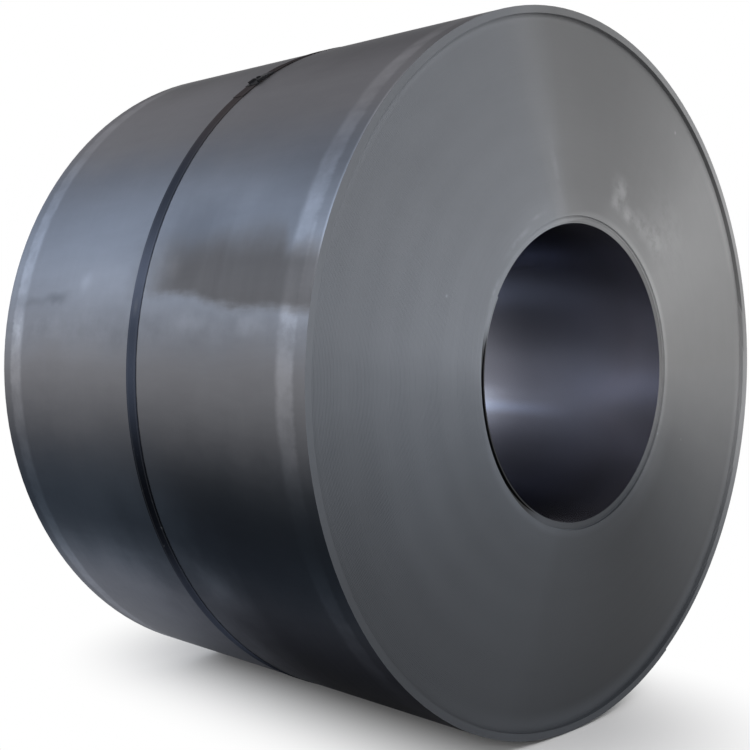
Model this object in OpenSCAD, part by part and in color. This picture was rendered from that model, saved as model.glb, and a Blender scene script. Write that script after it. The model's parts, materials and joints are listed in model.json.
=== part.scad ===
// A coil of bare steel strip, lying on its side with its bore along Y, held by one steel strap.
// The near end faces -Y. All sizes are in millimetres.

/* [Coil] */
// Diameter of the bore, set by the mandrel that the strip was wound on
bore_d = 610; // [500:1:800]
// Diameter of the wound coil
coil_d = 1490; // [1200:1:2000]
// Width of the strip
strip_w = 1000; // [500:1:1600]
// Thickness of the strip
strip_t = 3; // [2:0.5:8]

/* [Turn edges] */
// How far the turns round the bore stand out of the near end, past the outermost turns
telescope = 23; // [8:1:40]
// How far the outermost turns stand out past the turns inside them
rim_proud = 9; // [1:0.5:20]
// How far the innermost turns lie back behind the turns around them
bore_back = 5; // [1:0.5:10]
// Step from each turn's edge to the next
turn_step = 0.8; // [0.4:0.1:2]
// How far the edges drift in and out in slow waves over the wall
drift = 0.3; // [0:0.1:4]
// Number of those waves
drift_waves = 5; // [1:1:9]
// Innermost turns that lie flush with each other
inner_turns = 5; // [5:1:10]
// Turns at the rim that lie flush with each other
outer_turns = 5; // [2:1:10]

/* [Loose inner lap] */
// Widest opening between the innermost turn and the next
lap_gap = 10; // [4:0.5:11]
// Direction of the widest opening, from +X towards +Z
lap_gap_deg = 203; // [0:1:359]
// Angle that the opening takes up
lap_gap_arc = 76; // [50:1:100]

/* [Strap] */
// Width of the strap
strap_w = 32; // [19:1:50]
// Thickness of the strap
strap_t = 1; // [0.5:0.1:2]
// Clearance between the strap and the coil
strap_clear = 0.2; // [0.1:0.05:0.5]
// Length of the strap's free end past the seal
strap_tail = 45; // [10:1:120]

/* [Seal] */
// Length of the seal along the strap
seal_len = 62; // [40:1:100]
// Thickness of the seal's sheet
seal_t = 1; // [0.5:0.1:2]
// Clearance between the seal and the strap
seal_clear = 0.15; // [0.05:0.05:0.4]
// Place of the seal around the coil, from +X towards +Z
seal_deg = 124; // [0:1:359]
// Distance between the crimps along the seal
crimp_pitch = 26; // [16:1:30]
// Length of each crimp's notch along the seal
notch_len = 9; // [4:0.5:12]
// Depth of each notch into the seal's edge
notch_depth = 5; // [3:0.5:8]
// Height of the tab that each crimp turns up
tab_h = 8; // [2:0.5:12]

/* [Hidden] */
$fn = 180;
cut_over = 5;

// Each turn takes an equal share of the wall from bore to rim
bore_r = bore_d / 2;
coil_r = coil_d / 2;
turns = round((coil_r - bore_r) / strip_t);
pitch = (coil_r - bore_r) / turns;
function turn_r(i) = bore_r + pitch * i;

// Where a turn's edge lies along the axis, measured from the outermost turns towards the near end
first_loose = inner_turns;
last_loose = turns - outer_turns - 1;
function along_wall(i) = (i - first_loose) / (last_loose - first_loose);
function lean(i) = telescope * (1 - along_wall(i)) - rim_proud * along_wall(i);
function wave(i) = drift * sin(360 * drift_waves * along_wall(i));
function stagger(i) = (i % 2 == 0 ? turn_step : -turn_step) / 2;

// Flush lands on the end: inner radius, outer radius and place along the axis
inner_land = [bore_r, turn_r(inner_turns), telescope - bore_back];
outer_land = [turn_r(turns - outer_turns), coil_r, 0];
loose_lands = [for (i = [first_loose : last_loose]) [turn_r(i), turn_r(i + 1), lean(i) + wave(i) + stagger(i)]];
lands = concat([inner_land], loose_lands, [outer_land]);

// The strip keeps its width, so both ends show the same steps, and the coil is centred on its whole length
places = [for (land = lands) land[2]];
centre_shift = (max(places) + min(places)) / 2;
near_edge = [for (land = lands) each [for (k = [0, 1]) [land[k], strip_w / 2 + land[2] - centre_shift]]];
far_edge = [for (j = [len(lands) - 1 : -1 : 0], k = [1, 0]) [lands[j][k], lands[j][2] - centre_shift - strip_w / 2]];
coil_len = strip_w + max(places) - min(places);

// The opening behind the loose innermost lap lies between two round walls that cross at its tips
lap_r = bore_r + pitch;
lap_spread = 2 * lap_r * (1 - cos(lap_gap_arc / 2)) + 2 * lap_gap;
lap_shift = (lap_gap * lap_gap + 2 * lap_r * lap_gap) / lap_spread;
lap_wall_r = lap_r + lap_gap - lap_shift;

// The strap lies round the middle of the outermost turn, doubled under the seal
strap_r = coil_r + strap_clear;
strap_out_r = strap_r + strap_t;
double_out_r = strap_out_r + strap_t;
strap_mid = -centre_shift;
function arc_deg(length) = length / coil_r * 180 / PI;

// The seal's channel closes over both layers of the strap
seal_in_r = double_out_r + seal_clear;
seal_out_r = seal_in_r + seal_t;
seal_in_half = strap_w / 2 + seal_clear;
seal_out_half = seal_in_half + seal_t;

// The coil rests on its strap
axis_z = strap_out_r;

// Turns a shape wound about the Z axis onto its side, with its upper end to the near end
module lay() {
    translate([0, 0, axis_z]) rotate([90, 0, 0]) children();
}

// A band of a given width round the axis, over part of a turn
module arc_band(r1, r2, width, from_deg, span_deg) {
    rotate([0, 0, from_deg]) rotate_extrude(angle = span_deg)
        translate([r1, strap_mid - width / 2]) square([r2 - r1, width]);
}

// The crescent-shaped opening that the loose innermost lap leaves beside the bore
module lap_opening() {
    rotate([0, 0, lap_gap_deg]) difference() {
        translate([lap_shift, 0, 0]) cylinder(h = coil_len + 2 * cut_over, r = lap_wall_r, center = true);
        cylinder(h = coil_len + 4 * cut_over, r = lap_r, center = true);
    }
}

module coil() {
    color("#6b7077") lay() difference() {
        rotate_extrude() polygon(concat(near_edge, far_edge));
        lap_opening();
    }
}

module strap() {
    double_len = seal_len + 2 * strap_tail;
    color("#2b2d31") lay() union() {
        rotate_extrude() translate([strap_r, strap_mid - strap_w / 2]) square([strap_t, strap_w]);
        arc_band(strap_r, double_out_r, strap_w, seal_deg - arc_deg(double_len) / 2, arc_deg(double_len));
    }
}

// Puts a shape made for the near edge at each crimp, on both edges of the seal
module at_crimps() {
    for (k = [-1, 1], flip = [0, 1])
        rotate([0, 0, seal_deg + k * arc_deg(crimp_pitch) / 2])
            translate([0, 0, strap_mid]) mirror([0, 0, flip]) children();
}

module notch() {
    translate([strap_r - cut_over, -notch_len / 2, seal_out_half - notch_depth])
        cube([seal_out_r - strap_r + 2 * cut_over, notch_len, notch_depth + cut_over]);
}

module tab() {
    translate([seal_in_r + seal_t / 2, notch_len / 2, seal_out_half - notch_depth])
        cube([seal_t / 2 + tab_h, seal_t, notch_depth - seal_t]);
}

module strap_seal() {
    color("#3a3c40") lay() union() {
        difference() {
            rotate([0, 0, seal_deg - arc_deg(seal_len) / 2]) rotate_extrude(angle = arc_deg(seal_len))
                translate([0, strap_mid]) polygon([
                    [strap_r, seal_out_half], [seal_out_r, seal_out_half],
                    [seal_out_r, -seal_out_half], [strap_r, -seal_out_half],
                    [strap_r, -seal_in_half], [seal_in_r, -seal_in_half],
                    [seal_in_r, seal_in_half], [strap_r, seal_in_half],
                ]);
            at_crimps() notch();
        }
        at_crimps() tab();
    }
}

coil();
strap();
strap_seal();
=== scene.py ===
"""Looks for a coil of bare steel strip, made around the packed model of the part.

The wound coil, its strap and the strap's seal are shaped in more detail than the solids, get the
finishes of rolled steel, and stand on a plain stage. Lengths are in metres. Angles are in radians,
except in the tables of the finishes, which give bearings in degrees, from +X towards +Z.
"""

import json
import math

import bmesh
import bpy
from bpy.props import FloatProperty, FloatVectorProperty, IntProperty, PointerProperty
from mathutils import Euler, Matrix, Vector


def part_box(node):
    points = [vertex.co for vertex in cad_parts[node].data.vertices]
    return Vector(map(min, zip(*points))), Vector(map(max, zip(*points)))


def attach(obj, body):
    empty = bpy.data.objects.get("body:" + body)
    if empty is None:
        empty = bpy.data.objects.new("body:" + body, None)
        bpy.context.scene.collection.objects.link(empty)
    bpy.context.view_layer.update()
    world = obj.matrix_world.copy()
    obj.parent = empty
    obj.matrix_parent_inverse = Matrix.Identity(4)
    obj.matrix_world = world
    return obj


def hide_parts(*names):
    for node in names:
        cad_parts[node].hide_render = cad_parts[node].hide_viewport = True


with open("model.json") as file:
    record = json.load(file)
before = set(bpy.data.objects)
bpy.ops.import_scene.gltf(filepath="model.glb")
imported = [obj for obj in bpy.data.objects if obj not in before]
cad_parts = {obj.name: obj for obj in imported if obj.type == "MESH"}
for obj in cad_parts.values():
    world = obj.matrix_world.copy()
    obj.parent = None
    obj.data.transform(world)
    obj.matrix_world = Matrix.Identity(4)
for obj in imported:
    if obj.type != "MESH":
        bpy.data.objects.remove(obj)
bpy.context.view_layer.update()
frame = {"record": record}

bl_info = {
    "name": "Steel coil",
    "version": (1, 0, 0),
    "blender": (4, 5, 0),
    "location": "View3D > Sidebar > Steel coil",
    "description": "Winds a coil of steel strip, straps it and sets it on a stage",
    "category": "Object",
}

COIL_LOW, COIL_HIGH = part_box("coil")
STRAP_LOW, STRAP_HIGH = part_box("strap")
STRAP_MIDDLE = (STRAP_LOW.y + STRAP_HIGH.y) / 2
BORE = frame["record"]["mounts"][0]
TAU = math.tau
MM = 0.001
WELD = 2e-6
SHARP = math.radians(35)


# Sizes and colours

def length(name, description, default):
    return FloatProperty(name=name, description=description, default=default, unit="LENGTH",
                         subtype="DISTANCE", precision=4)


def angle(name, description, degrees):
    return FloatProperty(name=name, description=description, default=math.radians(degrees),
                         unit="ROTATION", subtype="ANGLE")


def colour(name, description, default):
    return FloatVectorProperty(name=name, description=description, default=default, size=3,
                               subtype="COLOR", min=0.0, max=1.0)


def number(name, description, default):
    return FloatProperty(name=name, description=description, default=default)


def count(name, description, default):
    return IntProperty(name=name, description=description, default=default, min=1)


class CoilSizes(bpy.types.PropertyGroup):
    """Sizes of the wound strip"""
    bore_radius: length("Bore radius", "Radius of the bore", BORE["dims"]["r_mm"] * MM)
    coil_radius: length("Coil radius", "Radius at the strip's outer end", (COIL_HIGH.x - COIL_LOW.x) / 2)
    strip_width: length("Strip width", "Width of the strip", BORE["dims"]["length_mm"] * MM)
    axis_height: length("Axis height", "Height of the bore's axis", BORE["pos_m"][2])
    steps: count("Steps in a turn", "Straight steps that make up one turn", 144)
    whole_turns: count("Whole turns", "Whole turns of strip on the coil", 146)
    lead_angle: angle("Lead angle", "Where the strip starts in the bore", 150)
    tail_angle: angle("Tail angle", "Where the strip ends on the outside", 300)
    telescope: length("Telescope", "How far the turns round the bore stand out past the outermost", 23 * MM)
    rim_proud: length("Proud rim", "How far the outermost turns stand out past the next", 9 * MM)
    bore_back: length("Bore set-back", "How far the innermost turns lie back behind the next", 5 * MM)
    drift: length("Drift", "Slow waves of the turn edges over the wall", 0.3 * MM)
    drift_waves: count("Drift waves", "Number of the slow waves", 5)
    wander: length("Wander", "How far each turn strays from the one inside it", 0.07 * MM)
    inner_turns: count("Inner turns", "Innermost turns that lie flush", 5)
    outer_turns: count("Outer turns", "Turns at the rim that lie flush", 5)
    rim_spread: number("Rim spread", "Turns that join the flush rim where it is widest", 3.2)
    rim_angle: angle("Rim angle", "Where the flush rim is widest", 345)
    lap_gap: length("Lap gap", "Widest opening behind the loose first lap", 10 * MM)
    lap_angle: angle("Lap angle", "Direction of the widest opening", 203)
    lap_arc: angle("Lap arc", "Angle that the opening takes up", 76)
    lap_play: length("Lap play", "Clearance of the first lap where it lies closed", 0.25 * MM)


class StrapSizes(bpy.types.PropertyGroup):
    """Sizes of the strap and its seal"""
    width: length("Strap width", "Width of the strap", 32 * MM)
    thickness: length("Strap thickness", "Thickness of the strap", 1 * MM)
    play: length("Strap play", "Clearance between the strap and the coil", 0.2 * MM)
    overlap: length("Overlap", "Length over which the strap lies double", 152 * MM)
    tail_lift: length("Tail lift", "How far the strap's free end springs up", 0.4 * MM)
    seal_angle: angle("Seal angle", "Place of the seal round the coil", 124)
    seal_length: length("Seal length", "Length of the seal along the strap", 62 * MM)
    seal_sheet: length("Seal sheet", "Thickness of the seal's sheet", 1 * MM)
    crimp_pitch: length("Crimp pitch", "Distance between the seal's crimps", 26 * MM)
    notch_length: length("Notch length", "Length of each crimp's notch", 9 * MM)
    notch_depth: length("Notch depth", "Depth of each notch into the edge", 5 * MM)
    tab_height: length("Tab height", "Height that a crimp's tab would have if it stood straight", 8 * MM)


class FinishColours(bpy.types.PropertyGroup):
    """Colours of the steel, the strap and the stage"""
    edge_grey: colour("Edge grey", "Plain grey of the turn edges", (0.300, 0.300, 0.300))
    edge_blue: colour("Edge blue", "Blue-grey of the turn edges", (0.275, 0.306, 0.358))
    sheet_blue: colour("Sheet blue", "Blue-grey of the rolled face", (0.304, 0.345, 0.424))
    # A bluer tint painted low on the rolled face, for the colour of the reflected light
    sheet_reflected_blue: colour("Sheet deep", "Bluer scale low on the rolled face", (0.27, 0.35, 0.45))
    sheet_brown: colour("Sheet brown", "Brown-grey of the rolled face", (0.350, 0.338, 0.342))
    bore_blue: colour("Bore blue", "Blue-grey of the bore's wall", (0.61, 0.60, 0.645))
    # A bluer tint painted deep in the bore and at its glint, for the colour of the reflected light
    bore_reflected_blue: colour("Bore deep", "Bluer steel deep in the bore", (0.53, 0.58, 0.72))
    strap_black: colour("Strap black", "Waxed black of the strap", (0.0150, 0.0178, 0.0252))
    strap_brown: colour("Strap brown", "Browner wax on top of the coil", (0.030, 0.026, 0.027))
    # Also the colour of the strap's painted glint
    strap_bare_and_glint: colour("Strap worn", "Bare steel where the strap is rubbed", (0.20, 0.21, 0.225))
    seal_grey: colour("Seal grey", "Dark grey of the seal", (0.016, 0.016, 0.018))
    floor_white: colour("Floor white", "Colour of the pale floor", (0.86, 0.86, 0.86))
    floor_speck: colour("Floor speck", "Darker specks of the pale floor", (0.83, 0.83, 0.83))
    ceiling_grey: colour("Ceiling grey", "Light from overhead", (0.43, 0.43, 0.445))


class StageSizes(bpy.types.PropertyGroup):
    """Floor and camera"""
    eye: FloatVectorProperty(name="Camera place", description="Where the camera stands", size=3,
                             default=(-2.0648, -1.9496, 0.8540), subtype="TRANSLATION", unit="LENGTH")
    aim: FloatVectorProperty(name="Camera turn", description="Which way the camera points", size=3,
                             default=tuple(math.radians(v) for v in (88.785, 0.0, -43.73)),
                             subtype="EULER", unit="ROTATION")
    lens: number("Lens", "Focal length in millimetres on a 36 mm sensor", 57.74)
    shift_x: number("Shift across", "Lens shift across the picture", 0.0511)
    shift_y: number("Shift up", "Lens shift up the picture", -0.0384)
    floor_radius: length("Floor radius", "Radius of the floor", 14.0)


# Node trees

def math_node(operation):
    """A method that adds a math node, with the field as its first value."""
    def method(field, *others):
        return field.calc(operation, *others)
    return method


class Field:
    """One value of a node tree, which Python's own signs work on."""

    def __init__(self, tree, socket):
        self.tree, self.socket = tree, socket

    def calc(self, operation, *others):
        return calc(self.tree, operation, self, *others)

    __add__ = __radd__ = math_node("ADD")
    __sub__ = math_node("SUBTRACT")
    __mul__ = math_node("MULTIPLY")
    __truediv__ = math_node("DIVIDE")
    __mod__ = math_node("FLOORED_MODULO")
    __pow__ = math_node("POWER")
    __gt__ = math_node("GREATER_THAN")
    __lt__ = math_node("LESS_THAN")
    sin = math_node("SINE")
    cos = math_node("COSINE")
    root = math_node("SQRT")
    size = math_node("ABSOLUTE")
    sign = math_node("SIGN")
    at_least = math_node("MAXIMUM")
    at_most = math_node("MINIMUM")

    def __rsub__(self, other):
        return calc(self.tree, "SUBTRACT", other, self)

    def __rtruediv__(self, other):
        return calc(self.tree, "DIVIDE", other, self)

    def ease(self, start, end, low=0.0, high=1.0):
        """Goes smoothly from low to high as the value goes from start to end."""
        plugs = dict(enumerate((self, start, end, low, high)))
        node = put(self.tree, "ShaderNodeMapRange", plugs, interpolation_type="SMOOTHSTEP")
        return Field(self.tree, node.outputs[0])

    def hump(self, centre, half):
        """One at the centre, easing to zero half a width away on both sides."""
        return (self - centre).size().ease(0.0, half, 1.0, 0.0)

    def swell(self, centre, half):
        """A hump over degrees, which close at a whole turn."""
        return ((self - centre + 180.0) % 360.0 - 180.0).size().ease(0.0, half, 1.0, 0.0)

    def towards(self, other, share):
        """Goes from this value to the other as the share goes from zero to one."""
        return self + (other - self) * share


def join(tree, value, plug):
    """Links a field or socket to a plug, or sets a plain value on it; a colour has three numbers."""
    if isinstance(value, Field):
        tree.links.new(value.socket, plug)
    elif isinstance(value, bpy.types.NodeSocket):
        tree.links.new(value, plug)
    else:
        plug.default_value = (*value, 1.0) if plug.type == "RGBA" else value


def put(tree, kind, plugs=None, **settings):
    """Adds a node with its settings and what goes into its plugs, by their names or numbers."""
    node = tree.nodes.new(kind)
    for name, value in settings.items():
        setattr(node, name, value)
    for name, value in (plugs or {}).items():
        join(tree, value, node.inputs[name])
    return node


def calc(tree, operation, *values):
    """One sum of a node tree, from fields and plain numbers."""
    node = put(tree, "ShaderNodeMath", dict(enumerate(values)), operation=operation)
    return Field(tree, node.outputs[0])


def plain(tree, value):
    """A plain number as a field."""
    node = put(tree, "ShaderNodeValue")
    node.outputs[0].default_value = value
    return Field(tree, node.outputs[0])


def vector(tree, x, y, z):
    return put(tree, "ShaderNodeCombineXYZ", {"X": x, "Y": y, "Z": z}).outputs[0]


def parts(tree, socket):
    """The three parts of a vector."""
    split = put(tree, "ShaderNodeSeparateXYZ", {"Vector": socket})
    return [Field(tree, plug) for plug in split.outputs]


def noise(tree, where, scale, detail=2.0, roughness=0.5):
    """Soft noise between zero and one, over a vector or along one number."""
    line = isinstance(where, Field)
    plugs = {"W" if line else "Vector": where, "Scale": scale, "Detail": detail, "Roughness": roughness}
    node = put(tree, "ShaderNodeTexNoise", plugs, noise_dimensions="1D" if line else "3D")
    return Field(tree, node.outputs[0])


# Shapes made by Geometry Nodes

def shape_tree(name, inputs):
    """A new geometry tree with a named input for each size; returns it and its inputs as fields."""
    tree = bpy.data.node_groups.new(name, "GeometryNodeTree")
    tree.interface.new_socket(name="Geometry", in_out="OUTPUT", socket_type="NodeSocketGeometry")
    for label, value in inputs.items():
        kind = "NodeSocketInt" if isinstance(value, int) else "NodeSocketFloat"
        tree.interface.new_socket(name=label, in_out="INPUT", socket_type=kind).default_value = value
    source = tree.nodes.new("NodeGroupInput")
    return tree, {label: Field(tree, source.outputs[label]) for label in inputs}


def sheet(tree, columns, rows, rule):
    """A grid of points, each put where the rule says for its column and row."""
    wide = columns - 1
    grid = put(tree, "GeometryNodeMeshGrid", {"Size X": wide, "Size Y": rows - 1.0,
                                              "Vertices X": columns, "Vertices Y": rows})
    x, y, _ = parts(tree, put(tree, "GeometryNodeInputPosition").outputs[0])
    column = (x + wide * 0.5 + 0.5).calc("FLOOR")
    row = (y + (rows - 1) / 2 + 0.5).calc("FLOOR")
    moved = put(tree, "GeometryNodeSetPosition",
                {"Geometry": grid.outputs[0], "Position": rule(column, row)})
    return moved.outputs[0]


def close_tree(tree, sheets, finishes):
    """Joins sheets into one closed skin and gives it its finishes, each where its selection says."""
    together = put(tree, "GeometryNodeJoinGeometry")
    for part in sheets:
        tree.links.new(part, together.inputs[0])
    welded = put(tree, "GeometryNodeMergeByDistance", {"Geometry": together.outputs[0], "Distance": WELD})
    skin = put(tree, "GeometryNodeRealizeInstances", {"Geometry": welded.outputs[0]}).outputs[0]
    for finish, where in finishes:
        plugs = {"Geometry": skin, "Material": finish, "Selection": where}
        skin = put(tree, "GeometryNodeSetMaterial", plugs).outputs[0]
    tree.links.new(skin, put(tree, "NodeGroupOutput").inputs[0])


def shape_piece(name, tree, values):
    """Runs a geometry tree with its inputs set and keeps the result as a plain mesh object."""
    piece = bpy.data.objects.new(name, bpy.data.meshes.new(name))
    bpy.context.scene.collection.objects.link(piece)
    modifier = piece.modifiers.new("Shape", "NODES")
    modifier.node_group = tree
    for item in tree.interface.items_tree:
        if item.in_out == "INPUT":
            modifier[item.identifier] = values[item.name]
    graph = bpy.context.evaluated_depsgraph_get()
    mesh = bpy.data.meshes.new_from_object(piece.evaluated_get(graph))
    piece.modifiers.remove(modifier)
    piece.data = mesh
    finish_mesh(piece)
    return piece


def finish_mesh(piece):
    """Turns all faces outwards and smooths what isn't a sharp edge."""
    mesh = piece.data
    mesh.name = piece.name
    work = bmesh.new()
    work.from_mesh(mesh)
    bmesh.ops.recalc_face_normals(work, faces=work.faces)
    work.to_mesh(mesh)
    work.free()
    mesh.shade_smooth()
    mesh.set_sharp_from_angle(angle=SHARP)
    if not mesh.polygons:
        raise RuntimeError(f"{piece.name} came out empty")


def rim_end(coil):
    """Where the outermost turns end on the near side, worked out from the bore's wall."""
    return BORE["pos_m"][1] - coil.strip_width / 2 + coil.telescope - coil.bore_back


def steps_in_all(coil):
    """Straight steps of the strip from its lead end to its tail."""
    part_turn = ((coil.tail_angle - coil.lead_angle) % TAU) / TAU
    return coil.whole_turns * coil.steps + round(part_turn * coil.steps)


def turn_pitch(coil):
    """Thickness of the wall that each turn takes up."""
    return (coil.coil_radius - coil.bore_radius) / (steps_in_all(coil) / coil.steps + 1)


def strip_inputs(coil):
    """Named inputs of the wound strip, with their values."""
    return {
        "Bore radius": coil.bore_radius, "Coil radius": coil.coil_radius,
        "Strip width": coil.strip_width, "Axis height": coil.axis_height,
        "Rim end": rim_end(coil), "Steps in a turn": coil.steps, "Steps in all": steps_in_all(coil),
        "Lead angle": coil.lead_angle, "Telescope": coil.telescope,
        "Proud rim": coil.rim_proud, "Bore set-back": coil.bore_back,
        "Rim spread": coil.rim_spread, "Rim angle": coil.rim_angle,
        "Drift": coil.drift, "Drift waves": coil.drift_waves, "Wander": coil.wander,
        "Inner turns": coil.inner_turns, "Outer turns": coil.outer_turns,
        "Lap gap": coil.lap_gap, "Lap angle": coil.lap_angle, "Lap arc": coil.lap_arc,
        "Lap play": coil.lap_play,
    }


def wound_strip_tree(inputs, edges, rolled, bore):
    """The skin of one strip wound on itself: its turn edges on both ends, its outer face, its bore,
    and the loose first lap with the crescent opening behind it."""
    tree, given = shape_tree("Wound strip", inputs)
    steps, last, width = given["Steps in a turn"], given["Steps in all"], given["Strip width"]
    telescope = given["Telescope"]
    turns = last / steps
    pitch = (given["Coil radius"] - given["Bore radius"]) / (turns + 1)
    # Cosine where the rim stops spreading, then shares of a turn: first step, rim's delay, rim's step
    spread_ends, inner_step, rim_delay, rim_step = 0.85, 0.1, 0.1, 0.12
    deepest = -1.04

    def bearing(step):
        return given["Lead angle"] + (step % steps) * TAU / steps

    def opening(direction):
        """How wide the opening behind the first lap is."""
        half = given["Lap arc"] / 2
        off = direction - given["Lap angle"]
        return given["Lap gap"] * ((off.cos() - half.cos()) / (1.0 - half.cos())).at_least(0.0)

    def face_radius(turn, direction):
        """Radius of a turn's inner face; the turns behind the opening lie closer together."""
        squeezed = (1.0 - (turn - 1) / (given["Inner turns"] - 1)).at_least(0.0)
        return given["Bore radius"] + pitch * turn + opening(direction) * squeezed

    def edge_place(turn, direction):
        """How far a turn's edge stands out past the outermost turns, towards the near end."""
        inner, wander = given["Inner turns"], given["Wander"]
        wide = ((direction - given["Rim angle"]).cos() - spread_ends).at_least(0.0) / (1.0 - spread_ends)
        rim = turns - given["Outer turns"] + rim_delay
        along = ((turn - inner) / (rim - inner)).at_least(0.0).at_most(1.0)
        lean = telescope * (1.0 - along) - given["Proud rim"] * along
        wave = given["Drift"] * (along * given["Drift waves"] * TAU).sin()
        stray = wander * 2.0 * (noise(tree, turn * 1.37, 1.0, 1.0) - 0.5) * turn.ease(2.0, 2.4)
        flush = telescope - given["Bore set-back"] + stray * 0.4
        place = flush.towards(lean + wave + stray, turn.ease(inner, inner + inner_step))
        rim = rim - given["Rim spread"] * wide
        place = place * turn.ease(rim, rim + rim_step, 1.0, 0.0)
        return place.at_least(given["Proud rim"] * deepest).at_most(telescope)

    def point(radius, direction, place, end):
        """A point of the strip: at its near edge where the end is zero, at its far edge where it is one."""
        y = given["Rim end"] - place + width * end
        return vector(tree, radius * direction.cos(), y, radius * direction.sin() + given["Axis height"])

    def end_rule(end):
        """Turn edges, each with the wall up to the next one."""
        def rule(column, row):
            step = column + steps
            turn, direction = step / steps, bearing(step)
            climbs = (row > 1.5) * (turn + 1 < turns + 0.5 / steps)
            radius = face_radius(turn + row.at_most(1.0), direction)
            return point(radius, direction, edge_place(turn + climbs, direction), end)
        return rule

    def face_rule(start, layer):
        """One turn of the strip from a step on: its inner face, or its outer face one layer up."""
        def rule(column, row):
            step = column + start
            turn, direction = step / steps, bearing(step)
            return point(face_radius(turn + layer, direction), direction, edge_place(turn, direction), row)
        return rule

    def tail_rule(column, row):
        """The cut end of the strip on the outside."""
        direction = bearing(last)
        return point(face_radius(turns + column, direction), direction, edge_place(turns, direction), row)

    def lap_rule(column, row):
        """The first lap as a closed band: rows go round its section, and the first column caps it."""
        step = (column - 1).at_least(0.0)
        turn, direction = step / steps, bearing(step)
        capped = column < 0.5
        far = (row > 1.5) * (row < 3.5)
        out = (row > 0.5) * (row < 2.5)
        inner = given["Bore radius"] + pitch * turn
        outer = inner + pitch - given["Lap play"] * turn.ease(0.93, 1.0, 1.0, 0.0)
        radius = inner + (outer - inner) * out.towards(0.5, capped)
        return point(radius, direction, edge_place(turn, direction), far.towards(0.5, capped))

    end_columns = last - steps + 1
    sheets = [
        sheet(tree, end_columns, 3, end_rule(0.0)), sheet(tree, end_columns, 3, end_rule(1.0)),
        sheet(tree, steps + 1, 2, face_rule(steps, 0)), sheet(tree, steps + 1, 2, face_rule(last - steps, 1)),
        sheet(tree, plain(tree, 2.0), 2, tail_rule), sheet(tree, steps + 2, 5, lap_rule),
    ]
    x, _, z = parts(tree, put(tree, "GeometryNodeInputPosition").outputs[0])
    z = z - given["Axis height"]
    reach = (x * x + z * z).root()
    slant = parts(tree, put(tree, "GeometryNodeInputNormal").outputs[0])[1].size() < 0.7
    outside = slant * (reach > given["Coil radius"] - pitch * 1.5)
    inside = slant * (reach < given["Bore radius"] + pitch * (given["Inner turns"] - 0.2))
    close_tree(tree, sheets, [(edges, True), (rolled, outside), (bore, inside)])
    return tree


def strap_inputs(coil, strap):
    """Named inputs of the strap, with their values."""
    return {
        "Coil radius": coil.coil_radius, "Axis height": coil.axis_height,
        "Pitch": turn_pitch(coil), "Tail angle": coil.tail_angle,
        "Middle": STRAP_MIDDLE, "Width": strap.width,
        "Thickness": strap.thickness, "Play": strap.play, "Overlap": strap.overlap,
        "Tail lift": strap.tail_lift, "Seal angle": strap.seal_angle, "Seal length": strap.seal_length,
    }


def strap_tree(inputs, finish):
    """One flat strap round the coil. It climbs onto its own first end under the seal, steps down past
    the strip's tail, and its free end springs up."""
    tree, given = shape_tree("Strap", inputs)
    columns, rows = 483, 21
    climb_angle, climb_height = 0.03, 1.1
    flat_sides, round_edges = 0.16, 0.5
    radius, thick = given["Coil radius"], given["Thickness"]
    low = radius - given["Pitch"]
    half = given["Overlap"] / radius / 2
    first = given["Seal angle"] - half
    past_seal = given["Seal angle"] + TAU + given["Seal length"] / radius / 2
    end = given["Seal angle"] + TAU + half

    def rule(column, row):
        """Rows go round the strap's section, and the first and last columns cap its ends."""
        share = ((column - 1) / (columns - 3.0)).at_least(0.0).at_most(1.0)
        direction = first + (end - first) * share
        behind = (given["Tail angle"] - direction) % TAU
        spiral = radius - given["Pitch"] * behind / TAU
        drop = (low / radius).calc("ARCCOSINE")
        ahead = (direction - given["Tail angle"]) % TAU
        bridge = low / (drop - ahead).at_least(0.0).cos() * (ahead < drop)
        climb = direction.ease(first + TAU - climb_angle, first + TAU) * thick * climb_height
        spring = ((direction - past_seal) / (end - past_seal)).at_least(0.0)
        base = spiral.at_least(bridge) + given["Play"] + climb + given["Tail lift"] * spring * spring
        turn = row * TAU / (rows - 1)
        capped = ((column < 0.5) + (column > columns - 1.5)).at_most(1.0)
        across = turn.cos().sign() * turn.cos().size() ** flat_sides
        height = (turn.sin().sign() * turn.sin().size() ** round_edges * 0.5 + 0.5) * thick
        across = across * (1.0 - capped) * given["Width"] / 2
        reach = base + height.towards(thick * 0.5, capped)
        return vector(tree, reach * direction.cos(), given["Middle"] + across,
                      reach * direction.sin() + given["Axis height"])

    close_tree(tree, [sheet(tree, plain(tree, float(columns)), rows, rule)], [(finish, True)])
    return tree


# Tables of the finishes

# Tones by bearing: painted light and shade, a fan of light on the ends, a dark lower half and a bright band
# of reflected light on the rolled face, painted reflections in the bore and painted sheen on the strap
EDGE_TONES = ((0, 0.7), (14, 0.8), (26, 0.93), (40, 0.87), (52, 0.65), (64, 0.52), (78, 0.44),
              (96, 0.47), (102, 0.61), (107, 0.53), (140, 0.52), (172, 0.63), (180, 0.5), (190, 0.37),
              (200, 0.3), (212, 0.23), (225, 0.19), (254, 0.14), (259, 0.135), (280, 0.09), (296, 0.08),
              (312, 0.115), (332, 0.285), (346, 0.51))
NEAR_TONES = ((0, 0.32), (60, 0.32), (100, 0.34), (112, 0.37), (120, 0.56), (128, 0.86), (134, 0.8),
              (142, 0.68), (150, 0.48), (156, 0.33), (162, 0.28), (174, 0.5), (182, 0.39), (188, 0.2),
              (194, 0.05), (202, 0.03), (210, 0.06), (217, 0.12), (226, 0.06), (238, 0.025), (285, 0.03),
              (320, 0.2))
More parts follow.
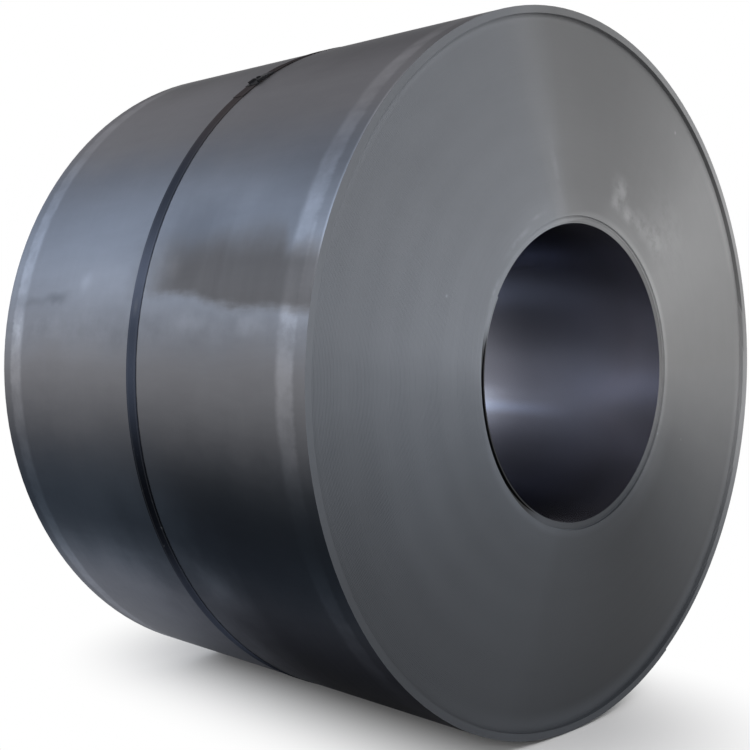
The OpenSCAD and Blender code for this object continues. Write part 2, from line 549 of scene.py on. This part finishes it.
FAR_TONES = ((0, 0.32), (60, 0.34), (100, 0.34), (114, 0.36), (120, 0.67), (128, 1.0), (136, 0.84),
             (141, 0.76), (147, 0.49), (154, 0.43), (164, 0.39), (173, 0.67), (180, 0.5), (188, 0.26),
             (194, 0.15), (202, 0.1), (208, 0.12), (213, 0.3), (219, 0.5), (226, 0.54), (236, 0.76),
             (285, 0.24), (320, 0.28))
BORE_TONES = ((0, 0.73), (14, 0.68), (32, 0.42), (45, 0.52), (62, 0.5), (95, 0.66), (130, 0.7),
              (180, 0.75), (230, 0.66), (270, 0.58), (300, 0.52), (322, 0.56), (335, 0.85), (343, 1.0),
              (350, 0.84))
STRAP_TONES = ((0, 0.2), (118, 0.17), (130, 0.25), (142, 0.27), (152, 0.32), (158, 0.55), (164, 1.0),
               (168, 0.9), (173, 0.42), (178, 0.58), (184, 0.38), (190, 0.1), (196, 0.04), (202, 0.04),
               (208, 0.08), (214, 0.28), (220, 0.38), (227, 0.5), (233, 0.36), (240, 0.12), (300, 0.2))

# Blues by bearing, a tint painted for the colour of the reflected light: from the plain or brown colour at
# zero to the blue one at one
EDGE_BLUES = ((0, 0.0), (95, 0.1), (110, 0.6), (175, 0.7), (205, 1.0), (265, 1.0), (300, 0.95), (330, 0.3))
SHEET_BLUES = ((0, 0.3), (100, 0.0), (138, 0.1), (148, 0.9), (160, 0.9), (168, 0.7), (174, 0.6),
               (179, 0.2), (190, 0.4), (206, 1.0), (230, 0.5), (300, 0.3))

# Painted sheen and shade on the end, from its bore to its rim: bearing, half its width, strength
LAND_SHEEN = ((310, 60, 0.3), (80, 30, 0.15), (28, 45, -0.4))
LIP_SHEEN = ((290, 90, 1.5), (66, 46, 0.9))
CORE_SHEEN = ((64, 24, 0.25), (313, 45, 0.5), (115, 45, 0.16), (235, 60, 0.18))
OUTER_SHADE = ((212, 45, -0.25),)
SKIRT_SHEEN = ((292, 62, 1.2), (346, 32, 0.6), (27, 24, 0.25))
FOOT_SHEEN = ((125, 60, 0.25),)
WALL_SHADE = ((38, 50, -0.6),)
RIM_SHEEN = ((66, 34, 0.4), (140, 50, -0.12))

# Scuffs, specks and smudges, with painted highlights among them: the thin streak at 101° on the end and the
# lighter marks along the bright band of the rolled face, from 150° to 175°. Bearing and half its width, place
# in metres and half its width, strength
EDGE_SCUFFS = ((68, 7, 0.417, 0.042, 0.65), (70, 5, 0.38, 0.03, 0.55), (62.5, 5, 0.378, 0.03, 0.6),
               (55, 8, 0.39, 0.04, 0.4), (46, 9, 0.4, 0.045, 0.3), (42, 18, 0.45, 0.13, 0.16),
               (128, 13, 0.336, 0.008, 0.3), (116, 7, 0.345, 0.006, 0.3), (150, 9, 0.326, 0.007, 0.3),
               (101, 2, 0.43, 0.1, 0.15))
EDGE_SPECKS = ((159.5, 0.6, 0.436, 0.004, 0.5), (53, 0.5, 0.673, 0.006, 0.6),
               (334, 0.8, 0.326, 0.004, 0.7), (338, 0.6, 0.438, 0.004, 0.5))
SHEET_MARKS = ((167.5, 1.3, 0.8, 0.07, -0.28), (165.5, 2.5, 0.7, 0.03, 0.2),
               (163, 2.5, 0.4, 0.035, 0.2), (172.5, 2.2, 0.15, 0.06, 0.16),
               (172, 2, 0.33, 0.1, 0.16), (156, 8, 0.36, 0.15, -0.22),
               (172.5, 4, 0.945, 0.03, 0.4), (168, 1.3, 0.9, 0.11, -0.14),
               (154, 6, 0.055, 0.035, 0.12), (164, 16, 0.985, 0.02, 0.12),
               (215, 7, 0.38, 0.11, 0.4), (203, 8, 0.62, 0.08, -0.14))
# The far end shows the same scuffs, turned by these degrees
FAR_END_TURN = 140.0


# Finishes

def new_finish(name):
    """A new material, with its node tree, its shader and the piece's own coordinates."""
    finish = bpy.data.materials.new(name)
    finish.use_nodes = True
    tree = finish.node_tree
    return finish, tree, tree.nodes["Principled BSDF"], put(tree, "ShaderNodeTexCoord").outputs["Object"]


def coat(tree, shader, plugs):
    """Links or sets the shader's plugs."""
    for name, value in plugs.items():
        join(tree, value, shader.inputs[name])


def round_axis(tree, spot, axis_height):
    """Place along the axis, reach from the axis and bearing from +X towards +Z."""
    x, y, z = parts(tree, spot)
    z = z - axis_height
    return y, (x * x + z * z).root(), z.calc("ARCTAN2", x)


def in_degrees(bearing):
    """A bearing in degrees from zero to a whole turn."""
    return (bearing / TAU % 1.0) * 360.0


def round_noise(tree, bearing, across, around, detail, roughness):
    """Noise that goes round the axis, with its own fineness across and around."""
    where = vector(tree, across, bearing.cos() * around, bearing.sin() * around)
    return noise(tree, where, 1.0, detail, roughness)


def tint(tree, share, first, second, mode="MIX"):
    """Goes from the first colour to the second as the share goes from zero to one."""
    plugs = {0: share, 6: first, 7: second}
    return put(tree, "ShaderNodeMix", plugs, data_type="RGBA", blend_type=mode).outputs[2]


def shade(tree, hue, tone):
    """A colour made lighter or darker by a tone."""
    grey = put(tree, "ShaderNodeCombineColor", {"Red": tone, "Green": tone, "Blue": tone}).outputs[0]
    return tint(tree, 1.0, hue, grey, "MULTIPLY")


def ramp(tree, degrees, stops):
    """A tone that runs softly along stops, each a bearing and a tone, and closes at a whole turn."""
    node = put(tree, "ShaderNodeValToRGB", {"Fac": degrees / 360.0})
    node.color_ramp.interpolation = "B_SPLINE"
    elements = node.color_ramp.elements
    # At its ends the curve takes five parts of the end stop and one of the stop beside it
    first, closing = stops[0][1], stops[0][1] + (stops[1][1] - stops[-1][1]) / 5
    for element, tone in ((elements[0], first), (elements[1], max(closing, 0.0))):
        element.color = (tone, tone, tone, 1.0)
    for place, tone in stops[1:]:
        elements.new(place / 360).color = (tone, tone, tone, 1.0)
    return Field(tree, node.outputs["Color"])


def sheen(degrees, listed):
    """How much lighter or darker the listed bearings are."""
    return sum(degrees.swell(bearing, half) * strength for bearing, half, strength in listed)


def marks(degrees, place, listed):
    """How much lighter or darker the listed scuffs make a surface."""
    return sum(degrees.swell(bearing, half) * place.hump(spot, reach) * strength
               for bearing, half, spot, reach, strength in listed)


def bore_side_sheen(step, degrees, reach, fray):
    """Painted sheen and shade on the flush first turns and on the lip where the next ones begin, and a
    lighter ring outside it, dimmer on the left.
    """
    left = degrees.ease(80.0, 105.0) * degrees.ease(190.0, 215.0, 1.0, 0.0)
    lighter_ring = (reach + left * (12 * MM)).ease(step - MM, step + MM)
    lighter_ring = lighter_ring * (reach + left * (10 * MM)).ease(step + 6 * MM, step + 20 * MM, 1.0, 0.0)
    lighter_ring = lighter_ring * (fray * 0.3 + 0.12) * (1.0 - left * 0.25)
    land = reach.ease(step - MM, step, 1.0, 0.0) * sheen(degrees, LAND_SHEEN)
    return lighter_ring + land + reach.hump(step + 0.2 * MM, MM) * sheen(degrees, LIP_SHEEN)


def rim_side_sheen(coil, degrees, reach):
    """Painted sheen and shade on the flush turns at the rim, the wall where they begin, and the foot of that
    wall.
    """
    wall_turns = coil.outer_turns + 0.84
    wall = coil.coil_radius - wall_turns * turn_pitch(coil)
    foot = reach.ease(wall - 19.6 * MM, wall - 3.6 * MM)
    foot = foot * reach.ease(wall - 0.2 * MM, wall + 0.6 * MM, 1.0, 0.0)
    land = reach.ease(wall + 0.6 * MM, wall + 2.4 * MM)
    return (reach.hump(wall, 2.2 * MM) * sheen(degrees, WALL_SHADE) + land * sheen(degrees, RIM_SHEEN)
            + foot * sheen(degrees, FOOT_SHEEN))


def broad_sheen(degrees, out):
    """Broad painted sheen and shade over the end: by the bore, over its outer half and towards the rim."""
    core = out.ease(0.068, 0.216, 1.0, 0.0) * sheen(degrees, CORE_SHEEN)
    outer = out.ease(0.443, 0.898) * sheen(degrees, OUTER_SHADE)
    return core + outer + out.ease(0.864, 0.948) * sheen(degrees, SKIRT_SHEEN)


def lap_shadow(coil, step, degrees, reach):
    """The shadow between the loose first lap and the turns behind it."""
    middle, half = math.degrees(coil.lap_angle), math.degrees(coil.lap_arc) * 0.64
    return reach.ease(step - 0.4 * MM, step, 1.0, 0.0) * degrees.swell(middle, half).ease(0.0, 0.3)


def edge_finish(coil, paint):
    """Matte turn edges with fine rings, a painted fan of light and shade, painted sheen and shade in rings by
    the bore and the rim, a lighter ring at the bore and light scuffs.
    """
    finish, tree, shader, spot = new_finish("turn_edges")
    y, reach, bearing = round_axis(tree, spot, coil.axis_height)
    rings = round_noise(tree, bearing, across=reach * 420.0, around=0.8, detail=3.0, roughness=0.6)
    feather = round_noise(tree, bearing, across=reach * 26.0, around=10.0, detail=4.0, roughness=0.7)
    fray = noise(tree, vector(tree, bearing.cos() * 5.0, bearing.sin() * 5.0, reach * 3.0), 1.0, 3.0, 0.6)
    clouds = noise(tree, spot, 9.0, 4.0, 0.6)
    degrees = in_degrees(bearing)
    frayed = in_degrees(bearing + (fray - 0.5) * 0.10)
    out = (reach - coil.bore_radius) / (coil.coil_radius - coil.bore_radius)
    step = coil.bore_radius + coil.inner_turns * turn_pitch(coil)
    # Painted light and shade: the fan of tones by bearing, lighter by the bore and darker towards the rim
    # except on the right
    light_fan = out.ease(0.034, 0.92, 1.14, 0.88).towards(1.0, bearing.cos().ease(0.1, 0.8))
    tone = ramp(tree, frayed, EDGE_TONES) * light_fan * (rings * 0.14 + 0.93) * (clouds * 0.12 + 0.94)
    # Painted sheen and shade in rings by the bore and the rim, broad painted sheen over the end, and painted
    # shade by the loose lap
    narrow = bore_side_sheen(step, degrees, reach, fray) + rim_side_sheen(coil, degrees, reach)
    tone = tone * (narrow + 1.0) * (broad_sheen(degrees, out) + 1.0)
    tone = tone * (1.0 - lap_shadow(coil, step, degrees, reach) * 0.9)
    spots = (degrees + (y > 0.0) * FAR_END_TURN) % 360.0
    tone = tone * (marks(spots, reach, EDGE_SCUFFS) * feather.ease(0.30, 0.62) + 1.0)
    tone = tone * (marks(spots, reach, EDGE_SPECKS) + 1.0)
    # Bluish tint painted by bearing, for the colour of the reflected light
    hue = tint(tree, ramp(tree, frayed, EDGE_BLUES), paint.edge_grey, paint.edge_blue)
    relief = put(tree, "ShaderNodeBump", {"Height": rings, "Distance": 0.09 * MM, "Strength": 1.0})
    coat(tree, shader, {"Base Color": shade(tree, hue, tone), "Metallic": 0.1, "Specular IOR Level": 0.3,
                        "Roughness": rings * 0.15 + 0.50, "Normal": relief.outputs[0]})
    return finish


def dull_patch(along, degrees, grain, clouds):
    """A brown patch of dull scale on the near half, with a frayed lower edge that slopes."""
    slope = along.ease(0.18, 0.38) * 2.4
    late = along.ease(0.075, 0.11, 1.0, 0.0)
    patch = degrees.ease(late * 4.0 + 156.0, late + 163.5)
    patch = patch * (degrees + slope + (grain - 0.5) * 1.8).ease(168.7, 171.1, 1.0, 0.0)
    return patch * (along + (clouds - 0.5) * 0.16).ease(0.34, 0.56, 1.0, 0.0)


def edge_sheen_band(coil, along, degrees, grain, blotch):
    """A painted band of pale sheen a little way in from each edge, which fades low on the near half."""
    edge = along.at_most(coil.strip_width - along) + (grain - 0.5) * (16 * MM)
    sheen_band = edge.ease(24 * MM, 36 * MM) * edge.ease(64 * MM, 80 * MM, 1.0, 0.0)
    sheen_band = sheen_band * blotch.ease(0.25, 0.7, 0.45, 1.1)
    return sheen_band * (1.0 - (along < coil.strip_width / 2) * degrees.swell(200.0, 16.0) * 0.8)


def rolled_finish(coil, paint):
    """Blue-grey rolled face with painted light and shade by bearing, painted sheen bands near its edges,
    painted highlights by the near corner, painted reflection tints, a brown patch and soft smudges.
    """
    finish, tree, shader, spot = new_finish("rolled_face")
    y, _, bearing = round_axis(tree, spot, coil.axis_height)
    along = y - rim_end(coil)
    streaks = round_noise(tree, bearing, across=y * 60.0, around=1.5, detail=3.0, roughness=0.6)
    grain = round_noise(tree, bearing, across=y * 9.0, around=30.0, detail=4.0, roughness=0.7)
    blotch = round_noise(tree, bearing, across=y * 22.0, around=16.0, detail=4.0, roughness=0.6)
    clouds = noise(tree, spot, 5.0, 4.0, 0.6)
    degrees = in_degrees(bearing + (clouds - 0.5) * 0.10)
    depth = (along + (clouds - 0.5) * 0.3).ease(0.25, 0.75)
    patch = dull_patch(along, degrees, grain, clouds)
    sheen_band = edge_sheen_band(coil, along, degrees, grain, blotch)
    shine = 0.42 - patch * 0.24 - degrees.swell(136.0, 20.0) * 0.17
    # Painted highlights along the near corner and a little way in from the near edge, and painted mottling in
    # the bright band
    corner_highlight = along.ease(MM, 7 * MM, 1.0, 0.0) * degrees.ease(128.0, 142.0)
    corner_highlight = corner_highlight * degrees.ease(160.0, 168.0, 1.0, 0.0) * 0.7
    verge_highlight = along.ease(26 * MM, 36 * MM, 1.0, 0.0) * degrees.swell(163.0, 17.0) * 0.3
    highlight_mottle = degrees.swell(172.5, 4.0) * (blotch - 0.5) * 0.5
    # Painted light and shade by bearing, from the near tones to the far ones, and the painted sheen band by
    # each edge
    tone = ramp(tree, degrees, NEAR_TONES).towards(ramp(tree, degrees, FAR_TONES), depth) * 1.25
    tone = tone * (grain * 0.16 + 0.92) * (sheen_band * shine + 0.85) * (1.0 - patch * 0.52)
    tone = tone * (highlight_mottle + 1.0) * (corner_highlight + verge_highlight + 1.0) * (marks(degrees, along, SHEET_MARKS) + 1.0)
    # Bluish and browner tints painted by bearing, and a bluer tint painted low down, for the colour of the
    # reflected light
    blue = ramp(tree, degrees, SHEET_BLUES) * (1.0 - patch * 0.8)
    hue = tint(tree, blue, paint.sheet_brown, paint.sheet_blue)
    hue = tint(tree, degrees.swell(204.0, 16.0) * 0.8, hue, paint.sheet_reflected_blue)
    coat(tree, shader, {"Base Color": shade(tree, hue, tone), "Metallic": 0.9, "Specular IOR Level": 0.3,
                        "Specular Tint": (0.4, 0.4, 0.42), "Roughness": streaks * 0.08 + 0.34})
    return finish


def bore_finish(coil, paint):
    """Smooth wall of the bore, with painted reflections and shade by bearing and depth, a painted glint, and
    painted shade in the cleft behind the loose first lap.
    """
    finish, tree, shader, spot = new_finish("bore_face")
    y, reach, bearing = round_axis(tree, spot, coil.axis_height)
    inside = (y - COIL_LOW.y).at_most(COIL_HIGH.y - y)
    clouds = noise(tree, spot, 4.0, 3.0)
    degrees = in_degrees(bearing)
    pitch = turn_pitch(coil)
    wound = (bearing - coil.lead_angle) / TAU % 1.0 * pitch
    # Painted shade in the cleft behind the loose first lap
    cleft_shade = (reach - coil.bore_radius - wound).ease(pitch * 0.3, pitch * 0.7)
    # Painted glint, a reflection deep in the bore
    glint = degrees.swell(340.0, 5.0) * inside.ease(0.20, 0.40)
    deep = inside.ease(0.06, 0.24)
    aside = bearing.cos().ease(0.80, 0.94, 1.0, 0.0)
    # Painted light and shade: tones by bearing, lighter at the mouth, darker deeper in and to the sides,
    # brighter at the glint, and painted shade in the cleft
    tone = ramp(tree, degrees, BORE_TONES) * inside.ease(0.0, 0.38, 2.3, 0.60) * (clouds * 0.2 + 0.9)
    tone = tone * inside.ease(0.03, 0.10, 1.0, 0.82) * (1.0 - deep * aside * 0.12) * (glint * 0.4 + 1.0)
    tone = tone.at_most(1.45) * inside.ease(0.30, 0.42, 1.0, 0.88) * (1.0 - cleft_shade * 0.96)
    # Bluer tint painted deep in the bore and at the glint
    hue = tint(tree, deep * 0.5 + glint * 0.5, paint.bore_blue, paint.bore_reflected_blue)
    coat(tree, shader, {"Base Color": shade(tree, hue, tone), "Metallic": 1.0,
                        "Specular Tint": (0.45, 0.45, 0.50), "Roughness": cleft_shade * 0.4 + 0.24})
    return finish


def strap_finish(coil, paint):
    """Waxed black strap with painted sheen by bearing, rubbed bare in small spots, with a bright line by each
    edge and a painted glint.
    """
    finish, tree, shader, spot = new_finish("strap_black")
    y, _, bearing = round_axis(tree, spot, coil.axis_height)
    across = (y - STRAP_MIDDLE).size()
    degrees = in_degrees(bearing)
    rubs = noise(tree, spot, 90.0, 4.0, 0.65).ease(0.62, 0.8) * 0.3
    lines = across.hump(11.5 * MM, 3 * MM) * 0.07
    # Rubbed spots, a lighter line by each edge, and a painted glint across the middle
    rubs_lines_glint = rubs + lines + degrees.swell(169.5, 2.0) * across.hump(0.0, 12 * MM) * 0.2
    brown = degrees.ease(132.0, 150.0, 1.0, 0.0) * degrees.ease(0.0, 40.0)
    wax = tint(tree, brown, paint.strap_black, paint.strap_brown)
    # Painted sheen and shade along the strap by bearing
    wax = shade(tree, wax, ramp(tree, degrees, STRAP_TONES) * 6.0)
    coat(tree, shader, {"Base Color": tint(tree, rubs_lines_glint, wax, paint.strap_bare_and_glint), "Specular IOR Level": 0.0,
                        "Roughness": noise(tree, spot, 40.0, 3.0) * 0.2 + 0.25})
    return finish


def seal_finish(paint):
    """Dark crimped sheet steel."""
    finish, tree, shader, spot = new_finish("seal_dark")
    rubs = noise(tree, spot, 160.0, 4.0, 0.65).ease(0.55, 0.8)
    coat(tree, shader, {"Base Color": tint(tree, rubs * 0.4, paint.seal_grey, paint.strap_bare_and_glint),
                        "Roughness": 0.38, "Specular IOR Level": 0.03})
    return finish


def floor_finish(paint):
    """Pale floor that keeps the coil's shadow and fades to plain white away from it."""
    finish, tree, shader, spot = new_finish("pale_floor")
    x, y, _ = parts(tree, spot)
    away = (x * x + y * y).root()
    past = (y.size() - 0.40).at_least(0.0)
    beside = (x * x + past * past).root()
    specks = noise(tree, spot, 2.0, 2.0) * 0.2
    coat(tree, shader, {"Base Color": tint(tree, specks, paint.floor_white, paint.floor_speck),
                        "Roughness": 0.9, "Specular IOR Level": 0.0})
    seen = put(tree, "ShaderNodeLightPath").outputs
    direct = Field(tree, seen["Is Camera Ray"]) * beside.ease(0.10, 0.60)
    mirrored = Field(tree, seen["Is Glossy Ray"]).at_least(Field(tree, seen["Is Transmission Ray"]))
    share = direct.at_least(mirrored * away.ease(0.40, 1.15))
    white = put(tree, "ShaderNodeEmission")
    mix = put(tree, "ShaderNodeMixShader", {0: share, 1: shader.outputs[0], 2: white.outputs[0]})
    out = next(node for node in tree.nodes if node.type == "OUTPUT_MATERIAL")
    tree.links.new(mix.outputs[0], out.inputs["Surface"])
    return finish


# Pieces

def hand_over(piece, node):
    """Puts a piece on the part in place of the solid it stands for."""
    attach(piece, "root")
    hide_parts(node)


class STEELCOIL_OT_coil(bpy.types.Operator):
    """Wind the strip into the coil"""
    bl_idname = "steelcoil.coil"
    bl_label = "Wind coil"

    def execute(self, context):
        coil, paint = context.scene.coil_sizes, context.scene.finish_colours
        inputs = strip_inputs(coil)
        finishes = [finish(coil, paint) for finish in (edge_finish, rolled_finish, bore_finish)]
        piece = shape_piece("wound_coil", wound_strip_tree(inputs, *finishes), inputs)
        hand_over(piece, "coil")
        return {"FINISHED"}


class STEELCOIL_OT_strap(bpy.types.Operator):
    """Put the strap round the coil"""
    bl_idname = "steelcoil.strap"
    bl_label = "Strap coil"

    def execute(self, context):
        coil, paint = context.scene.coil_sizes, context.scene.finish_colours
        inputs = strap_inputs(coil, context.scene.strap_sizes)
        piece = shape_piece("steel_strap", strap_tree(inputs, strap_finish(coil, paint)), inputs)
        hand_over(piece, "strap")
        return {"FINISHED"}


class SealShape:
    """Stations of the folded seal and its tabs, laid out flat and then bent round the coil."""
    layers = 2.2
    play = 0.15 * MM
    side_play = 0.3 * MM
    round_by = 0.7 * MM
    crown = 0.15 * MM
    notch_stub = 0.02 * MM
    tab_rings = 7
    tab_inset = 0.3 * MM
    tab_back = 0.2 * MM
    tab_lean = 2.0 * MM
    tab_taper = 0.8 * MM
    tab_sheets = 2.2
    # How long the tabs of the two crimps are, in notch lengths
    tab_stretches = (0.8, 2.2)

    def __init__(self, coil, strap):
        behind = ((coil.tail_angle - strap.seal_angle) % TAU) / TAU
        self.base = coil.coil_radius - turn_pitch(coil) * behind + strap.play
        self.centre, self.axis, self.strap = strap.seal_angle, coil.axis_height, strap
        self.top = strap.thickness * self.layers + strap.seal_sheet + self.play
        self.half = strap.width / 2 + strap.seal_sheet + self.side_play
        self.crimps = (-strap.crimp_pitch / 2, strap.crimp_pitch / 2)

    def bend(self, along, across, height):
        """Where a point of the flat seal comes to lie on the coil."""
        direction = self.centre + along / self.base
        reach = self.base + height
        return (reach * math.cos(direction), STRAP_MIDDLE - across, reach * math.sin(direction) + self.axis)

    def section(self, half, foot):
        """Corners of the sheet's section: over the top, then back along its underside."""
        sheet_t, top, round_by = self.strap.seal_sheet, self.top, self.round_by
        over = [(-half, foot), (-half, top - round_by), (-half + round_by * 0.3, top - round_by * 0.3),
                (-half + round_by, top), (0.0, top + self.crown)]
        over += [(-a, h) for a, h in reversed(over[:-1])]
        under = [(half - sheet_t, foot), (half - sheet_t, top - sheet_t), (0.0, top - sheet_t),
                 (-half + sheet_t, top - sheet_t), (-half + sheet_t, foot)]
        return over + under

    def stations(self):
        """Along the seal: full sections, and narrow ones without sides at the notches."""
        strap = self.strap
        full = (self.half, 0.0)
        narrow = (self.half - strap.notch_depth, self.top - strap.seal_sheet - self.notch_stub)
        end = strap.seal_length / 2
        stops = [(-end, full)]
        for centre in self.crimps:
            start, stop = centre - strap.notch_length / 2, centre + strap.notch_length / 2
            stops += [(start, full), (start, narrow), (centre, narrow), (stop, narrow), (stop, full)]
        stops.append((end, full))
        return stops

    def loft(self, work, rings):
        """Joins closed rings of points and caps both ends."""
        loops = [[work.verts.new(point) for point in ring] for ring in rings]
        for one, two in zip(loops, loops[1:]):
            for i in range(len(one)):
                j = (i + 1) % len(one)
                work.faces.new((one[i], one[j], two[j], two[i]))
        work.faces.new(loops[0])
        work.faces.new(loops[-1])

    def tab(self, work, along, side, stretch):
        """A flap that a crimp has turned up, curling over at its tip. Longer ones stand higher."""
        strap = self.strap
        near, far = self.half - strap.notch_depth, self.half - self.tab_inset
        rings = []
        for k in range(self.tab_rings):
            rise = k / (self.tab_rings - 1)
            lean, taper = self.tab_lean * rise * rise, self.tab_taper * rise * rise
            height = strap.tab_height * (0.35 + 0.12 * stretch) * rise + self.top - strap.seal_sheet * 0.5
            back = along + lean - strap.notch_length * (stretch - 0.5 * rise * rise)
            front = along + lean + strap.seal_sheet * self.tab_sheets
            ring = [(back, near + taper), (front, near + taper), (front, far - taper), (back, far - taper)]
            rings.append([self.bend(a, side * w, height) for a, w in ring])
        self.loft(work, rings)

    def mesh(self):
        """The folded seal with a tab on both sides of each crimp."""
        work = bmesh.new()
        self.loft(work, [[self.bend(along, across, height) for across, height in self.section(*size)]
                         for along, size in self.stations()])
        for centre, stretch in zip(self.crimps, self.tab_stretches):
            for side in (-1, 1):
                self.tab(work, centre + self.strap.notch_length / 2 - self.tab_back, side, stretch)
        mesh = bpy.data.meshes.new("strap_seal")
        work.to_mesh(mesh)
        work.free()
        return mesh


class STEELCOIL_OT_seal(bpy.types.Operator):
    """Crimp the seal over the strap's ends"""
    bl_idname = "steelcoil.seal"
    bl_label = "Crimp seal"

    def execute(self, context):
        scene = context.scene
        piece = bpy.data.objects.new("crimped_seal", SealShape(scene.coil_sizes, scene.strap_sizes).mesh())
        scene.collection.objects.link(piece)
        piece.data.materials.append(seal_finish(scene.finish_colours))
        finish_mesh(piece)
        hand_over(piece, "strap_seal")
        return {"FINISHED"}


# Stage

# Lamps: name, place, the point it faces, width and height, watts, colour
LAMPS = (
    ("key", (3.0, -3.0, 3.0), (0.1, -0.5, 0.8), (2.4, 2.4), 18.0, (1.0, 0.99, 0.97)),
    ("window", (-3.3, 3.2, 3.1), (-0.6, 0.0, 0.9), (3.2, 2.4), 62.0, (0.84, 0.91, 1.0)),
    ("fill", (-2.2, -3.4, 3.6), (-0.5, -1.7, 0.0), (1.6, 1.6), 80.0, (1.0, 1.0, 1.0)),
)


def lay_floor(scene):
    """A wide round floor."""
    work = bmesh.new()
    bmesh.ops.create_circle(work, cap_ends=True, segments=96, radius=scene.stage_sizes.floor_radius)
    mesh = bpy.data.meshes.new("floor")
    work.to_mesh(mesh)
    work.free()
    floor = bpy.data.objects.new("floor", mesh)
    floor.data.materials.append(floor_finish(scene.finish_colours))
    scene.collection.objects.link(floor)


def light_room(scene):
    """A white room with a grey ceiling."""
    world = bpy.data.worlds.new("studio")
    world.use_nodes = True
    tree = world.node_tree
    up = parts(tree, put(tree, "ShaderNodeTexCoord").outputs["Generated"])[2]
    walls = tint(tree, up.ease(0.28, 0.50), (1.0, 1.0, 1.0), scene.finish_colours.ceiling_grey)
    join(tree, walls, tree.nodes["Background"].inputs["Color"])
    scene.world = world


def softbox(scene, name, place, target, size, power, tone):
    """A rectangular lamp that faces a point."""
    lamp = bpy.data.lights.new(name, "AREA")
    lamp.shape, lamp.size, lamp.size_y = "RECTANGLE", size[0], size[1]
    lamp.energy, lamp.color = power, tone
    holder = bpy.data.objects.new(name, lamp)
    holder.location = place
    holder.rotation_euler = (Vector(target) - Vector(place)).to_track_quat("-Z", "Y").to_euler()
    scene.collection.objects.link(holder)


def set_camera(scene):
    """The camera at the photo's angle."""
    stage = scene.stage_sizes
    camera = bpy.data.cameras.new("camera")
    camera.sensor_width, camera.lens = 36.0, stage.lens
    camera.shift_x, camera.shift_y = stage.shift_x, stage.shift_y
    holder = bpy.data.objects.new("camera", camera)
    holder.location = stage.eye
    holder.rotation_euler = Euler(stage.aim)
    scene.collection.objects.link(holder)
    scene.camera = holder


class STEELCOIL_OT_stage(bpy.types.Operator):
    """Set up the floor, the light and the camera"""
    bl_idname = "steelcoil.stage"
    bl_label = "Set stage"

    def execute(self, context):
        scene = context.scene
        scene.view_settings.view_transform = "Standard"
        lay_floor(scene)
        light_room(scene)
        for lamp in LAMPS:
            softbox(scene, *lamp)
        set_camera(scene)
        return {"FINISHED"}


# Add-on

class STEELCOIL_PT_panel(bpy.types.Panel):
    """Sizes, colours and steps of the steel coil"""
    bl_label = "Steel coil"
    bl_idname = "STEELCOIL_PT_panel"
    bl_space_type = "VIEW_3D"
    bl_region_type = "UI"
    bl_category = "Steel coil"

    def draw(self, context):
        for operator in OPERATORS:
            self.layout.operator(operator.bl_idname)
        for name, group in GROUPS.items():
            box = self.layout.box()
            box.label(text=group.__doc__)
            for field in group.__annotations__:
                box.prop(getattr(context.scene, name), field)


GROUPS = {"coil_sizes": CoilSizes, "strap_sizes": StrapSizes, "finish_colours": FinishColours,
          "stage_sizes": StageSizes}
OPERATORS = (STEELCOIL_OT_stage, STEELCOIL_OT_coil, STEELCOIL_OT_strap, STEELCOIL_OT_seal)
CLASSES = (*GROUPS.values(), *OPERATORS, STEELCOIL_PT_panel)


def register():
    for item in CLASSES:
        bpy.utils.register_class(item)
    for name, group in GROUPS.items():
        setattr(bpy.types.Scene, name, PointerProperty(type=group))


def unregister():
    for name in GROUPS:
        delattr(bpy.types.Scene, name)
    for item in reversed(CLASSES):
        bpy.utils.unregister_class(item)


def main():
    register()
    bpy.ops.steelcoil.stage()
    bpy.ops.steelcoil.coil()
    bpy.ops.steelcoil.strap()
    bpy.ops.steelcoil.seal()


if __name__ == "__main__":
    main()
